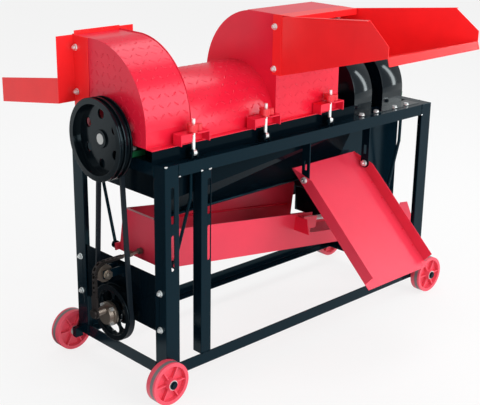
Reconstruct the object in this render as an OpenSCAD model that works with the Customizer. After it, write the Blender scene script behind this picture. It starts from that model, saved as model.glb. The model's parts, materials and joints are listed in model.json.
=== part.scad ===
// Threshing machine on a wheeled angle-steel frame: toothed drum, feed hopper, fans, shaken sieve and chutes.
// X runs along the machine, Y from the feeding side to the back, Z up. The ground is z = 0.

/* [Frame] */
// Length of the frame over its end faces
frame_l = 1150; // [1120:5:1200]
// Width of the frame over its side faces
frame_w = 421; // [415:1:430]
// Height of the top rails above the underside of the bottom rails
frame_h = 618; // [612:1:630]
// Width of each leaf of a leg
leg_w = 48; // [44:1:50]
// Width of each leaf of a rail
rail_w = 36; // [34:1:38]
// Width of each leaf of the second post
post_w = 37; // [34:1:39]
// Distance from the frame's left end to the second post
post_in = 127; // [122:1:140]
// Thickness of the angle steel
steel_t = 4; // [3:0.5:5]

/* [Motor slots] */
// Width of a motor slot
slot_w = 11; // [9:1:12]
// Length of a motor slot
slot_l = 104; // [90:1:108]
// Height of the upper slot's top above the bottom rails
slot_top = 558; // [545:1:565]
// Distance between the centres of the upper and the lower slot
slot_step = 136; // [125:1:145]

/* [Wheels] */
// Radius of a wheel
wheel_r = 62; // [56:1:66]
// Width of a wheel's tread
wheel_w = 35; // [30:1:38]
// Height of the axles above the underside of the bottom rails
axle_h = 5; // [0:1:12]
// Distance from the frame's end face out to an axle
axle_out = 14; // [13:1:20]
// Radius of a wheel axle
axle_r = 8; // [7:0.5:10]

/* [Drum] */
// Height of the drum shaft above the top rails
drum_up = 43; // [42:0.5:46]
// Radius of the drum shaft
shaft_r = 15; // [13:0.5:16]
// Radius of the drum's shell
shell_r = 95; // [80:1:105]
// Radius over the tips of the drum's teeth
tooth_tip_r = 138; // [130:1:139]
// Number of rows of teeth
tooth_rows = 8; // [6:1:10]
// Distance along the drum between teeth
tooth_step = 80; // [60:5:120]
// Radius of the concave's bars, at their middle
concave_r = 148; // [147:0.5:150]
// Radius of one concave bar
concave_bar_r = 4; // [3:0.5:5]

/* [Pulleys] */
// Radius of the two-groove input pulley
drive_r = 115; // [105:1:118]
// Radius of the small belt pulley on the drum shaft
small_r = 50; // [44:1:54]
// Radius of the crank pulley
crank_pulley_r = 84; // [78:1:88]
// Height of the crank shaft above the bottom rails
crank_h = 142; // [136:1:150]
// Radius of the crank shaft
crank_shaft_r = 12; // [10:0.5:13]
// Distance from the crank shaft to the crank pin
crank_throw = 15; // [12:0.5:16]
// Width of the drive belt
belt_w = 13; // [11:0.5:14]
// Thickness of the drive belt
belt_t = 8; // [7:0.5:9]

/* [Covers] */
// Thickness of the sheet steel
sheet_t = 2; // [1.5:0.1:2]
// Outer radius of the round cover over the drum
cover_r = 156; // [155:0.5:158]
// Outer radius of the left housing's front curve
left_arc_r = 217; // [216:0.5:218]
// How far the left housing's rim plate stands proud of its curve
rim_proud = 3; // [2:0.5:5]
// Outer radius of the feed housing's back curve
feed_arc_r = 209; // [208:0.5:210]
// Length of the left housing
left_house_l = 155; // [140:1:170]
// Length of the round cover between the housings
mid_cover_l = 315; // [300:1:320]
// Length of the feed housing
feed_house_l = 272; // [255:1:280]

/* [Feed hopper] */
// How far the hopper's mouth reaches out from the feed housing
hopper_out = 437; // [380:1:450]
// How much the left wall flares outward
flare_left = 50; // [40:1:60]
// How much the right wall flares outward
flare_right = 72; // [60:1:80]
// Height of the floor's rise from root to mouth
floor_rise = 118; // [100:1:125]

/* [Discharge chute] */
// Length of the straw tray behind the housing
tray_l = 290; // [250:1:320]
// Height of the tray's side walls
tray_wall = 72; // [60:1:80]
// How far the tray drops along its length
tray_drop = 45; // [30:1:55]
// How far the tray's sides stand outside the housing
wing_w = 56; // [50:1:58]

/* [Grain chute] */
// Length of the grain chute's floor
chute_l = 440; // [420:1:445]
// Width of the grain chute over its side walls
chute_w = 286; // [270:1:290]
// Height of the grain chute's side walls
chute_wall = 39; // [34:1:42]
// Slope of the grain chute at rest
chute_slope = 43; // [38:1:45]

/* [Sieve] */
// Length of the sieve box along its slope
sieve_l = 1170; // [1150:1:1180]
// Width of the sieve box
sieve_w = 204; // [196:1:206]
// Height of the sieve box's end and front wall
sieve_wall = 114; // [105:1:118]
// Height of the back wall
sieve_back = 128; // [126:1:140]
// Slope of the sieve, down towards the right
sieve_slope = 8; // [7.5:0.25:8.5]
// Radius of a hanger rod
rod_r = 5; // [4:0.5:5.5]
// Radius of the hanger pins
pin_r = 6; // [5:0.5:6.5]

/* [Fans] */
// Radius of the fan housings
fan_r = 140; // [130:1:142]
// Radius of the impellers
impeller_r = 100; // [90:1:104]
// Width of the left fan housing
fan_w1 = 86; // [80:1:90]
// Width of the right fan housing
fan_w2 = 103; // [95:1:103]
// Gap between the fan housings
fan_gap = 54; // [50:1:60]

/* [Clamps] */
// Radius of the clamp bolts
clamp_r = 5; // [4:0.5:5.5]
// Length of a clamp bolt above its pin
clamp_l = 93; // [88:1:96]
// Height of the clamp pins above the top rails
clamp_up = 16; // [15:0.5:18]

/* [Spring] */
// Radius of the return spring over its coils
spring_r = 8; // [7:0.5:9]
// Radius of the spring wire
spring_wire = 1.25; // [1:0.05:1.3]
// Number of the spring's curls
spring_curls = 34; // [30:1:36]

/* [Clearances] */
// Radial clearance of a running fit
fit_run = 0.05; // [0.02:0.01:0.1]
// Gap between faces that pass each other
gap = 0.3; // [0.25:0.05:0.4]
// Radial clearance of a bolt in its hole
fit_bolt = 0.4; // [0.3:0.1:0.5]

/* [Hidden] */
$fn = 48;

// Paint and metal
paint_red = "#e03048";
paint_black = "#1c2326";
zinc = "#c9ccce";
steel = "#8e8f90";
rubber = "#2a3238";
cast_green = "#1f6b3a";

// Frame faces
hx = frame_l / 2;
hy = frame_w / 2;
lift = wheel_r - axle_h;
post_x = -hx + post_in;
rail_in = hy - rail_w;
leg_in_x = hx - leg_w;
leg_in_y = hy - leg_w;
slot_z = slot_top - slot_l / 2 - slot_step / 2;
leg_slot_x = -hx + 26;
post_slot_x = post_x + 29;

// Drum line and casing
drum_z = frame_h + drum_up;
casing_top = frame_h + 38;
cover_base = casing_top + sheet_t;
wall_y = rail_in;
casing_x0 = 39 - hx;
casing_z0 = frame_h - 118;
guide_top = frame_h - 28;
guide_z = frame_h - 183;
guide_y = 97;
drum_x0 = casing_x0 + 10;
bearing_x = hx - 15;
bearing_l = 48;

// Covers, from left to right
left_x0 = -hx - 17;
left_x1 = left_x0 + left_house_l;
feed_x0 = left_x1 + mid_cover_l;
feed_x1 = feed_x0 + feed_house_l;
casing_x1 = feed_x1 + 72;
back_guide_x0 = left_x1 + 107;
drum_x1 = feed_x1 - 10;
cover_in_r = cover_r - sheet_t;
left_arc_y = 62;
left_arc_z = frame_h + 84;
left_top = left_arc_z + left_arc_r;
left_back = hy - 52.5;
feed_arc_y = -74;
feed_arc_z = frame_h + 142;
feed_top = frame_h + 350;
feed_front = 45.5 - hy;
feed_sill = frame_h + 177;
cover_flange_y = wall_y + 4;

// Hopper mouth
root_y = feed_front - 17;
mouth_y = root_y - hopper_out + 17;
mouth_z = feed_sill + floor_rise;

// Discharge
wing_y = left_back;
wing_z0 = frame_h + 115;
tray_y1 = wing_y + sheet_t + tray_l;

// Belt plane, pulleys and crank
belt_x = -hx - 21;
drive_x0 = belt_x - 51;
drive_x1 = belt_x - 8;
shaft_x0 = belt_x - 31;
shaft_x1 = bearing_x + 30;
small_x0 = drive_x1;
small_x1 = small_x0 + 16;
crank_x0 = belt_x - 11;
crank_x1 = belt_x + 11;
pin_end = -hx - 83.7;
link_x = -hx - 89;
link_t = 5;
link_end_x = -hx - 96;
link_l = 62;
crank_pin_z = crank_h + crank_throw;

// Chain and idler
chain_x = -hx - 85;
idler_r = 26;
chain_half = 5;
chain_line_r = idler_r + chain_half;
idler_x = chain_x + chain_line_r;
idler_z = 273;
chain_run_z = idler_z + chain_line_r;
chain_run_x1 = 13 - hx;
chain_gap = 2.5;
link_pitch = 15.5;

// Sieve and hangers
sieve_x0 = 80 - hx;
sieve_z0 = 278;
hang_up_z = frame_h - 20;
hang_up_y = hy - 23.5;
hang_low_y = 120;
hang_bend_z = frame_h - 113;
hang_lean = 5;
front_hang_x = sieve_x0 + 25;
back_hang_x = sieve_x0;
right_hang_x = hx - 135;
left_hang_z = 290;
right_hang_z = 167;
eye_r = 12;
eye_w = 9;
rod_start = 10.5;

// Grain chute
chute_x0 = feed_x0 + 108;
chute_x1 = chute_x0 + chute_w;
chute_pin_y = 20 - hy;
chute_pin_z = frame_h - 155;
chute_pin_s = 56;
chute_pin_n = 16.5;
strap_t = 4;
strap_half = 15;

// Fans and their duct
fan_x1 = hx - 313;
fan_x2 = fan_x1 + fan_w1 + fan_gap;
fan_wall = 3;
duct_y = 129;
duct_x0 = fan_x1 - 34;
duct_x1 = hx - 68;
duct_top = frame_h;
duct_left_z = frame_h - 243;
baffle_x = duct_x0 + 27;
baffle_top = 320;
baffle_z = 235;
baffle_half = 97;
lug_x = duct_x0 + 8;

// Clamps
clamp_y = 18.5 - hy;
clamp_z = frame_h + clamp_up;
clamp_xs = [left_x0 + 132, left_x0 + 404, feed_x0 + 208];
fork_z = clamp_z + 56;
washer_z = fork_z + gap;
knob_top = clamp_z + 79;

// Bolts
bolt_r = 4.8;
bolt_hex = 8;

// The whole machine's middle
tail_h = 35;
lip_out = 6;
mid_x = (link_end_x + sieve_x0 + sieve_l * cos(sieve_slope) + tail_h * sin(sieve_slope)) / 2;
mid_y = (mouth_y - lip_out + tray_y1) / 2;

module place() { translate([-mid_x, -mid_y, lift]) children(); }
module cyl_x(x0, x1, r) { translate([x0, 0, 0]) rotate([0, 90, 0]) cylinder(r = r, h = x1 - x0); }
module cyl_y(y0, y1, r) { translate([0, y0, 0]) rotate([-90, 0, 0]) cylinder(r = r, h = y1 - y0); }
module along_x(x0, x1) { translate([x0, 0, 0]) rotate([90, 0, 90]) linear_extrude(x1 - x0) children(); }
module along_y(y0, y1) { translate([0, y1, 0]) rotate([90, 0, 0]) linear_extrude(y1 - y0) children(); }
module box(lo, hi) { translate(lo) cube(hi - lo); }
module both_y() { for (s = [0, 1]) mirror([0, s, 0]) children(); }
module both_x() { for (s = [0, 1]) mirror([s, 0, 0]) children(); }
module sheet(corners, t) { hull() for (p = corners) translate(p) cube(t, center = true); }

// A round bar between two points
module bar(a, b, r) {
    v = b - a;
    translate(a) rotate([0, acos(v[2] / norm(v)), atan2(v[1], v[0])]) cylinder(r = r, h = norm(v));
}

// A bolt along Z: head on z = 0, nut under the gripped plates
module bolt(grip) {
    cylinder(r = bolt_hex + 1.5, h = 1.5);
    cylinder(r = bolt_hex, h = 6.5, $fn = 6);
    translate([0, 0, -grip - 9]) cylinder(r = bolt_r, h = grip + 10);
    translate([0, 0, -grip - 6.5]) cylinder(r = bolt_hex, h = 6.5, $fn = 6);
}
module bolt_hole(grip) { translate([0, 0, -grip - 1]) cylinder(r = bolt_r + fit_bolt, h = grip + 2); }
module slot_cut() {
    half = slot_l / 2 - slot_w / 2;
    for (s = [-1, 1]) translate([0, 0, s * half]) cyl_y(-steel_t, steel_t, slot_w / 2);
    box([-slot_w / 2, -steel_t, -half], [slot_w / 2, steel_t, half]);
}
module motor_slots(x) {
    for (s = [-1, 1]) translate([x, -hy + steel_t / 2, slot_z + s * slot_step / 2]) slot_cut();
}

// Where the bolts sit: [position, turn, grip]
end_bolt_y = leg_in_y + 23.5;
end_bolts = [for (s = [-1, 1]) for (z = [143, 253]) [[-hx, s * end_bolt_y, z], [0, -90, 0], steel_t + 3]];
foot_t = 16;
foot_bolt_y = 60.5;
foot_bolts = [for (sx = [-1, 1]) for (sy = [-1, 1])
    [[sx * bearing_x, sy * foot_bolt_y, frame_h + foot_t], [0, 0, 0], foot_t + steel_t]];
fan_bolt_y = rail_in + 7;
fan_bolts = [for (s = [-1, 1]) for (x = [fan_x1 - 11, fan_x1 + 60, fan_x1 + 153, fan_x1 + 214])
    [[x, s * fan_bolt_y, frame_h + sheet_t], [0, 0, 0], sheet_t + steel_t]];
hopper_bolts = [for (z = [feed_sill + 17, feed_sill + 138]) for (s = [0, 1])
    [[s == 0 ? feed_x0 - sheet_t : feed_x1 + sheet_t, feed_front + 8, z], [0, s == 0 ? -90 : 90, 0], 2 * sheet_t]];
tray_bolts = [for (z = [wing_z0 + 29, wing_z0 + 153]) for (s = [0, 1])
    [[s == 0 ? left_x0 - sheet_t : left_x1 + sheet_t, left_back - 12, z], [0, s == 0 ? -90 : 90, 0],
        (s == 0 ? 2 : 2.5) * sheet_t]];
module at(b) { translate(b[0]) rotate(b[1]) children(); }
module holes(list) { for (b = list) at(b) bolt_hole(b[2]); }

// Angle leg standing at the front left corner, mirrored for the others
module leg() {
    box([-hx, -hy, 0], [-leg_in_x, -hy + steel_t, frame_h]);
    box([-hx, -hy, 0], [-hx + steel_t, -leg_in_y, frame_h]);
}

module front_left_leg() {
    place() color(paint_black) difference() {
        leg();
        motor_slots(leg_slot_x);
        holes(end_bolts);
    }
}

module front_right_leg() { place() color(paint_black) mirror([1, 0, 0]) leg(); }

module back_legs() {
    place() color(paint_black) difference() {
        both_x() mirror([0, 1, 0]) leg();
        holes(end_bolts);
    }
}

module second_post() {
    place() color(paint_black) difference() {
        union() {
            box([post_x, -hy, rail_w], [post_x + post_w, -hy + steel_t, frame_h - rail_w + 1]);
            box([post_x, -hy, rail_w], [post_x + steel_t, -hy + post_w - 2, frame_h - rail_w + 1]);
        }
        motor_slots(post_slot_x);
    }
}

// Long rail at the front: one leaf upright in the side face, one leaf lying inward at leaf_z
module long_rail(z0, z1, leaf_z) {
    box([-leg_in_x, -hy, z0], [leg_in_x, -hy + steel_t, z1]);
    box([-hx + steel_t, -hy + steel_t, leaf_z], [hx - steel_t, -rail_in, leaf_z + steel_t]);
}

top_z0 = frame_h - rail_w + 1;
leaf_top = frame_h - steel_t;

// Fixed pins that the sieve hangers swing on
module hanger_pin(x) {
    translate([x, 0, hang_up_z]) {
        cyl_y(-hy + steel_t - 1, -wall_y - gap, pin_r);
        cyl_y(-hang_up_y + eye_w / 2 + 1, -wall_y - gap, pin_r + 3);
    }
}

module front_top_rail() {
    place() color(paint_black) difference() {
        union() {
            long_rail(top_z0, frame_h, leaf_top);
            hanger_pin(front_hang_x + hang_lean);
            hanger_pin(right_hang_x + hang_lean);
        }
        holes(fan_bolts);
    }
}

module back_top_rail() {
    place() color(paint_black) difference() {
        mirror([0, 1, 0]) {
            long_rail(top_z0, frame_h, leaf_top);
            hanger_pin(back_hang_x + hang_lean);
            hanger_pin(right_hang_x + hang_lean);
        }
        holes(fan_bolts);
    }
}

module front_bottom_rail() { place() color(paint_black) long_rail(0, rail_w, 0); }
module back_bottom_rail() { place() color(paint_black) mirror([0, 1, 0]) long_rail(0, rail_w, 0); }

// Rail across the left end, at the bottom or the top
module end_rail(z0, z1, leaf_z) {
    box([-hx, -leg_in_y, z0], [-hx + steel_t, leg_in_y, z1]);
    box([-hx + steel_t, -rail_in, leaf_z], [-hx + rail_w, rail_in, leaf_z + steel_t]);
}

module end_rails() {
    place() color(paint_black) difference() {
        both_x() {
            end_rail(top_z0, frame_h, leaf_top);
            end_rail(0, rail_w, 0);
        }
        holes(foot_bolts);
    }
}

plate_z0 = 130;
plate_z1 = 295;
plate_t = 3;
plate_y = hy - steel_t - 6;
module left_end_plate() {
    place() color(paint_black) difference() {
        box([-hx + steel_t, -plate_y, plate_z0], [-hx + steel_t + plate_t, plate_y, plate_z1]);
        translate([0, 0, crank_h]) cyl_x(-hx, -hx + 20, crank_shaft_r + 3);
        holes(end_bolts);
    }
}

// Casing under the covers: folded side walls hung between the top rails
front_edge_left = 508;
front_edge_right = 581;
module clamp_lugs(x) {
    for (s = [-1, 1]) {
        box([x + s * 9 - 3, clamp_y - 8, clamp_z - 12], [x + s * 9 + 3, -wall_y, clamp_z + 10]);
    }
    translate([x, clamp_y, clamp_z]) cyl_x(-15, 15, clamp_r);
}

// Sheet that slopes inward from a casing wall and guides the grain onto the sieve
module grain_guide(x0) {
    along_x(x0, casing_x1) polygon([[-wall_y + 1, guide_top], [-wall_y + 1, guide_top - 5],
        [-guide_y - sheet_t, guide_z], [-guide_y, guide_z], [-wall_y + sheet_t + 1, guide_top]]);
}

module casing_front() {
    place() color(paint_black) {
        grain_guide(casing_x0 + 16);
        along_y(-wall_y, -wall_y + sheet_t) polygon([[casing_x0, casing_top], [casing_x1, casing_top],
            [casing_x1, front_edge_right], [casing_x0, front_edge_left]]);
        box([left_x0 + 4, -wall_y, frame_h], [casing_x0 + 1, -wall_y + sheet_t, casing_top]);
        box([left_x0 + 4, -wall_y - 4, casing_top - sheet_t], [casing_x1, -wall_y + sheet_t, casing_top]);
        for (x = clamp_xs) clamp_lugs(x);
    }
}

module casing_back() {
    place() color(paint_black) {
        mirror([0, 1, 0]) grain_guide(back_guide_x0);
        box([casing_x0, wall_y - sheet_t, casing_z0], [casing_x1, wall_y, casing_top]);
        box([left_x0 + 4, wall_y - sheet_t, frame_h], [casing_x0 + 1, wall_y, casing_top]);
        box([left_x0 + 4, wall_y - sheet_t, casing_top - sheet_t], [casing_x1, wall_y + 4, casing_top]);
    }
}

end_cut_z = guide_top + 6;
end_cut_y = 125;
module casing_end(x) {
    difference() {
        along_x(x, x + sheet_t) polygon([[-wall_y + sheet_t, casing_top - sheet_t], [-wall_y + sheet_t, end_cut_z],
            [-end_cut_y, casing_z0], [end_cut_y, casing_z0], [wall_y - sheet_t, end_cut_z],
            [wall_y - sheet_t, casing_top - sheet_t]]);
        translate([0, 0, drum_z]) cyl_x(x - 1, x + sheet_t + 1, shaft_r + 5);
    }
}

module casing_ends() {
    place() color(paint_black) {
        casing_end(casing_x0);
        casing_end(feed_x1 - sheet_t);
    }
}

// Bars and hoops under the drum that the grain falls through
concave_a = 196;
concave_bars = 15;
hoop_half = concave_bar_r - 1;
module concave_hoop(x) {
    along_x(x, x + 6) difference() {
        translate([0, drum_z]) circle(r = concave_r + hoop_half);
        translate([0, drum_z]) circle(r = concave_r - hoop_half);
        translate([-200, drum_z - concave_r * sin(concave_a - 180)]) square([400, 300]);
    }
    both_y() box([x, -wall_y + sheet_t, drum_z - 42], [x + 6, -concave_r * cos(concave_a - 180), drum_z - 34]);
}

module concave() {
    place() color(steel) {
        for (i = [0:concave_bars - 1]) {
            a = concave_a + 3 + i * (174 - 2 * (concave_a - 180)) / (concave_bars - 1);
            translate([0, concave_r * cos(a), drum_z + concave_r * sin(a)])
                cyl_x(casing_x0 + sheet_t, feed_x1 - sheet_t, concave_bar_r);
        }
        for (x = [casing_x0 + sheet_t, -370, -200, -30, feed_x1 - sheet_t - 6]) concave_hoop(x);
    }
}

// Pillow block with its foot on the end rail
module pillow_block(x) {
    translate([x, 0, 0]) difference() {
        union() {
            box([-bearing_l / 2, -82, frame_h], [bearing_l / 2, 82, frame_h + foot_t]);
            translate([0, 0, drum_z]) cyl_x(-bearing_l / 2 + 3, bearing_l / 2 - 3, 40);
            box([-bearing_l / 2 + 3, -40, frame_h], [bearing_l / 2 - 3, 40, drum_z]);
        }
        translate([0, 0, drum_z]) cyl_x(-bearing_l, bearing_l, shaft_r + fit_run);
        box([-bearing_l, -90, frame_h - 10], [bearing_l, 90, frame_h]);
    }
}

module drum_bearings() {
    place() color(cast_green) difference() {
        for (s = [-1, 1]) pillow_block(s * bearing_x);
        holes(foot_bolts);
    }
}

// Profile of the left housing in (y, z): curved front, flat top, upright back
module left_shape(r) {
    translate([left_arc_y, left_arc_z]) circle(r = r);
}
module left_profile(r) {
    intersection() {
        union() {
            left_shape(r);
            translate([left_arc_y - r, cover_base]) square([left_back - left_arc_y + r, left_arc_z - cover_base]);
            translate([left_arc_y, left_arc_z]) square([left_back - left_arc_y, r]);
        }
        translate([-300, cover_base]) square([300 + left_back, 400]);
    }
}

module left_housing() {
    place() color(paint_red) difference() {
        union() {
            along_x(left_x0, left_x1) difference() {
                left_profile(left_arc_r);
                left_profile_inner();
            }
            along_x(left_x0, left_x0 + sheet_t) left_profile(left_arc_r);
            along_x(left_x1 - sheet_t, left_x1) left_profile(left_arc_r + rim_proud);
            box([left_x0, -cover_flange_y, cover_base - sheet_t], [left_x1, -left_arc_r + left_arc_y + 1, cover_base]);
        }
        translate([0, 0, drum_z]) cyl_x(left_x0 - 1, left_x0 + sheet_t + 1, small_r + 10);
        translate([0, 0, drum_z]) cyl_x(left_x1 - sheet_t - 1, left_x1 + 1, cover_r - 6);
        box([left_x0 + sheet_t, left_back - 3 * sheet_t, wing_z0 - 2],
            [left_x1 - sheet_t, left_back + 1, left_top - sheet_t]);
        holes(tray_bolts);
    }
}
module left_profile_inner() {
    intersection() {
        union() {
            left_shape(left_arc_r - sheet_t);
            translate([left_arc_y - left_arc_r + sheet_t, cover_base - 10])
                square([left_back - left_arc_y + left_arc_r - 2 * sheet_t, left_arc_z - cover_base + 10]);
            translate([left_arc_y, left_arc_z]) square([left_back - left_arc_y - sheet_t, left_arc_r - sheet_t]);
        }
        translate([-300, cover_base - 20]) square([300 + left_back - sheet_t, 420]);
    }
}

module cover_arc() {
    intersection() {
        difference() {
            translate([0, drum_z]) circle(r = cover_r);
            translate([0, drum_z]) circle(r = cover_in_r);
        }
        translate([-300, cover_base]) square([600, 300]);
    }
}

module middle_cover() {
    place() color(paint_red) {
        along_x(left_x1, feed_x0) cover_arc();
        both_y() box([left_x1, -cover_flange_y, cover_base - sheet_t], [feed_x0, -cover_in_r, cover_base]);
    }
}

// Profile of the feed housing in (y, z): upright front, flat top, curved back down to the drum cover
module feed_profile(inset) {
    r = feed_arc_r - inset;
    difference() {
        union() {
            intersection() {
                translate([feed_arc_y, feed_arc_z]) circle(r = r);
                translate([feed_arc_y, drum_z]) square([300, 400]);
            }
            translate([feed_front + inset, cover_base - inset]) square([feed_arc_y - feed_front - inset + 1, 200]);
            translate([feed_front + inset, 800]) square([feed_arc_y - feed_front - inset + 31, feed_top - 801 - inset + 1]);
            translate([0, drum_z]) circle(r = cover_r - inset);
        }
        translate([-300, cover_base - inset - 300]) square([600, 300]);
        translate([-300, feed_top - inset]) square([600, 60]);
    }
}

module feed_housing() {
    place() color(paint_red) difference() {
        union() {
            along_x(feed_x0, feed_x1) difference() {
                feed_profile(0);
                feed_profile(sheet_t);
                translate([-300, cover_base - 10]) square([600, 10]);
            }
            for (x = [feed_x0, feed_x1 - sheet_t]) along_x(x, x + sheet_t) feed_profile(0);
            box([feed_x0, -cover_flange_y, cover_base - sheet_t], [feed_x1, feed_front + sheet_t, cover_base]);
            box([feed_x0, cover_in_r, cover_base - sheet_t], [feed_x1, cover_flange_y, cover_base]);
        }
        translate([0, 0, drum_z]) cyl_x(feed_x0 - 1, feed_x0 + sheet_t + 1, cover_r - 6);
        translate([0, 0, drum_z]) cyl_x(feed_x1 - sheet_t - 1, feed_x1 + 1, shaft_r + 6);
        box([feed_x0 + sheet_t, feed_front - 1, feed_sill], [feed_x1 - sheet_t, feed_front + 2 * sheet_t, feed_top - 4]);
        holes(hopper_bolts);
    }
}

// Feed hopper: floor rising to a lip, two flared side walls, bolted strips and a small roof plate
module hopper_wall(side) {
    x0 = side < 0 ? feed_x0 + 1 : feed_x1 - 1;
    flare = side < 0 ? -flare_left : flare_right;
    x_at = function (y) x0 + flare * (root_y - y) / (root_y - mouth_y);
    top_y = mouth_y + 72;
    sheet([[x0, root_y, feed_sill + 1], [x_at(mouth_y), mouth_y, mouth_z], [x_at(mouth_y), mouth_y, mouth_z + 28],
        [x_at(top_y), top_y, mouth_z + 85], [x0, root_y, feed_top - 5]], sheet_t);
    sheet([[x0, root_y, feed_top - 5], [x_at(top_y), top_y, mouth_z + 85],
        [x_at(top_y) + side * 10, top_y, mouth_z + 84], [x0 + side * 2, root_y, feed_top - 5]], sheet_t);
}

module feed_hopper() {
    place() color(paint_red) difference() {
        union() {
            for (s = [-1, 1]) hopper_wall(s);
            sheet([[feed_x0 + 1, root_y, feed_sill + 1], [feed_x1 - 1, root_y, feed_sill + 1],
                [feed_x1 - 1 + flare_right, mouth_y, mouth_z], [feed_x0 + 1 - flare_left, mouth_y, mouth_z]], sheet_t);
            sheet([[feed_x1 - 1 + flare_right, mouth_y, mouth_z], [feed_x0 + 1 - flare_left, mouth_y, mouth_z],
                [feed_x0 + 1 - flare_left, mouth_y - lip_out, mouth_z - 20],
                [feed_x1 - 1 + flare_right, mouth_y - lip_out, mouth_z - 20]], sheet_t);
            box([feed_x0, root_y - 1, feed_sill], [feed_x1, feed_front, feed_sill + sheet_t]);
            box([feed_x0 - sheet_t, root_y - 1, feed_sill], [feed_x0, -149, feed_top]);
            box([feed_x1, root_y - 1, feed_sill], [feed_x1 + sheet_t, -149, feed_top]);
            box([feed_x0 - sheet_t, root_y - 1, feed_sill], [feed_x0 + 2, feed_front, feed_top]);
            box([feed_x1 - 2, root_y - 1, feed_sill], [feed_x1 + sheet_t, feed_front, feed_top]);
            box([feed_x0, root_y - 42, feed_top - sheet_t], [feed_x1, feed_front, feed_top]);
            box([feed_x0, root_y - 42, feed_top - 18], [feed_x1, root_y - 42 + sheet_t, feed_top]);
        }
        holes(hopper_bolts);
    }
}

// Discharge chute: strips bolted to the housing, two wings and a falling tray
module discharge_chute() {
    wx0 = left_x0 - wing_w;
    wx1 = left_x1 + wing_w - 4;
    z1 = wing_z0 - tray_drop;
    tray_end = tray_y1 + sheet_t / 2;
    place() color(paint_red) difference() {
        union() {
            box([left_x0 - sheet_t, 90, wing_z0 - 21], [left_x0, wing_y + sheet_t, left_top]);
            box([left_x1, 131, wing_z0 + 14], [left_x1 + sheet_t, wing_y + sheet_t, left_top]);
            box([wx0, wing_y, wing_z0], [left_x0, wing_y + sheet_t, left_top]);
            box([left_x1, wing_y, wing_z0], [wx1, wing_y + sheet_t, left_top + 8]);
            box([left_x0, wing_y, wing_z0], [left_x1, wing_y + sheet_t, wing_z0 + sheet_t]);
            box([left_x0 - sheet_t, wing_y - 8, left_top], [left_x1 - sheet_t, wing_y + sheet_t, left_top + sheet_t]);
            box([left_x0 - sheet_t, wing_y - 8, left_top], [left_x1 - sheet_t, wing_y - 8 + sheet_t, left_top + 12]);
            for (x = [wx0, wx1 - sheet_t]) along_x(x, x + sheet_t) polygon([[wing_y, wing_z0],
                [tray_end, z1], [tray_end, z1 + tray_wall], [wing_y, wing_z0 + tray_wall]]);
            along_x(wx0, wx1) polygon([[wing_y, wing_z0], [tray_end, z1], [tray_end, z1 + sheet_t],
                [wing_y, wing_z0 + sheet_t]]);
        }
        holes(tray_bolts);
    }
}

// Forked bracket on the cover that a clamp bolt swings into
module cover_bracket(x) {
    inner = -cover_r + 1.5;
    half = 50;
    difference() {
        union() {
            box([x - half, clamp_y - 10, fork_z - 4], [x + half, inner - 14, fork_z]);
            box([x - half, clamp_y - 10, fork_z - 22], [x - 12, clamp_y - 7, fork_z]);
            for (s = [-1, 1]) box([x + s * half - 1.5, clamp_y - 10, cover_base + 2],
                [x + s * half + 1.5, inner - 14, fork_z]);
            box([x - half, inner - 16, cover_base], [x + half, inner - 12, fork_z]);
        }
        box([x - clamp_r - 2, clamp_y - 11, fork_z - 30], [x + clamp_r + 2, clamp_y + clamp_r + 3, fork_z + 1]);
    }
}

module cover_brackets() { place() color(paint_red) for (x = clamp_xs) cover_bracket(x); }

// Knuckle hinges along the back of the covers
module cover_hinges() {
    hinge_y = cover_flange_y + 9;
    place() color(paint_black) for (x = clamp_xs) {
        translate([x, hinge_y, cover_base]) {
            cyl_x(-30, 30, 7);
            cyl_x(-33, 33, 4);
        }
        box([x - 30, wall_y, casing_top - 30], [x + 30, wall_y + 3, casing_top - sheet_t]);
        box([x - 30, wall_y, casing_top - 12], [x + 30, hinge_y - 3, casing_top - 9]);
        box([x - 30, hinge_y - 7, casing_top - 12], [x + 30, hinge_y - 4, cover_base]);
        box([x - 30, cover_flange_y, cover_base - sheet_t], [x + 30, hinge_y - 3, cover_base]);
    }
}

// Grain chute hung on two bolts under the front rail; s runs down its floor, n stands off it
module on_chute() {
    translate([0, chute_pin_y, chute_pin_z]) rotate([chute_slope, 0, 0]) translate([0, chute_pin_s, -chute_pin_n])
        mirror([0, 1, 0]) children();
}

module grain_chute() {
    floor_end = chute_l;
    wall_end = chute_l - 20;
    place() color(paint_red) on_chute() difference() {
        union() {
            box([chute_x0, 0, -sheet_t], [chute_x1, floor_end, 0]);
            for (x = [chute_x0, chute_x1 - sheet_t]) along_x(x, x + sheet_t)
                polygon([[0, -sheet_t], [0, 2], [75, chute_wall], [wall_end, chute_wall], [wall_end, -sheet_t]]);
        }
        translate([0, chute_pin_s, chute_pin_n]) cyl_x(chute_x0 - 1, chute_x1 + 1, bolt_r + fit_run);
    }
}

// Slotted straps with the chute's pivot bolts
module chute_straps() {
    place() color(paint_black) for (s = [0, 1]) {
        wall = s == 0 ? chute_x0 : chute_x1;
        d = s == 0 ? 1 : -1;
        x0 = wall + d * (sheet_t + gap);
        x1 = x0 + d * strap_t;
        difference() {
            union() {
                box([min(x0, x1), chute_pin_y - strap_half, chute_pin_z],
                    [max(x0, x1), chute_pin_y + strap_half, leaf_top]);
                translate([0, chute_pin_y, chute_pin_z]) cyl_x(min(x0, x1), max(x0, x1), strap_half);
            }
            box([min(x0, x1) - 1, chute_pin_y - 5, chute_pin_z + 30], [max(x0, x1) + 1, chute_pin_y + 5, chute_pin_z + 60]);
        }
        translate([0, chute_pin_y, chute_pin_z]) {
            cyl_x(min(x1 - d, wall - d * 11), max(x1 - d, wall - d * 11), bolt_r);
            cyl_x(min(wall - d * gap, wall - d * 2), max(wall - d * gap, wall - d * 2), bolt_hex + 1.5);
            cyl_x(min(wall - d * 2, wall - d * 8), max(wall - d * 2, wall - d * 8), bolt_hex);
        }
    }
}

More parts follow.
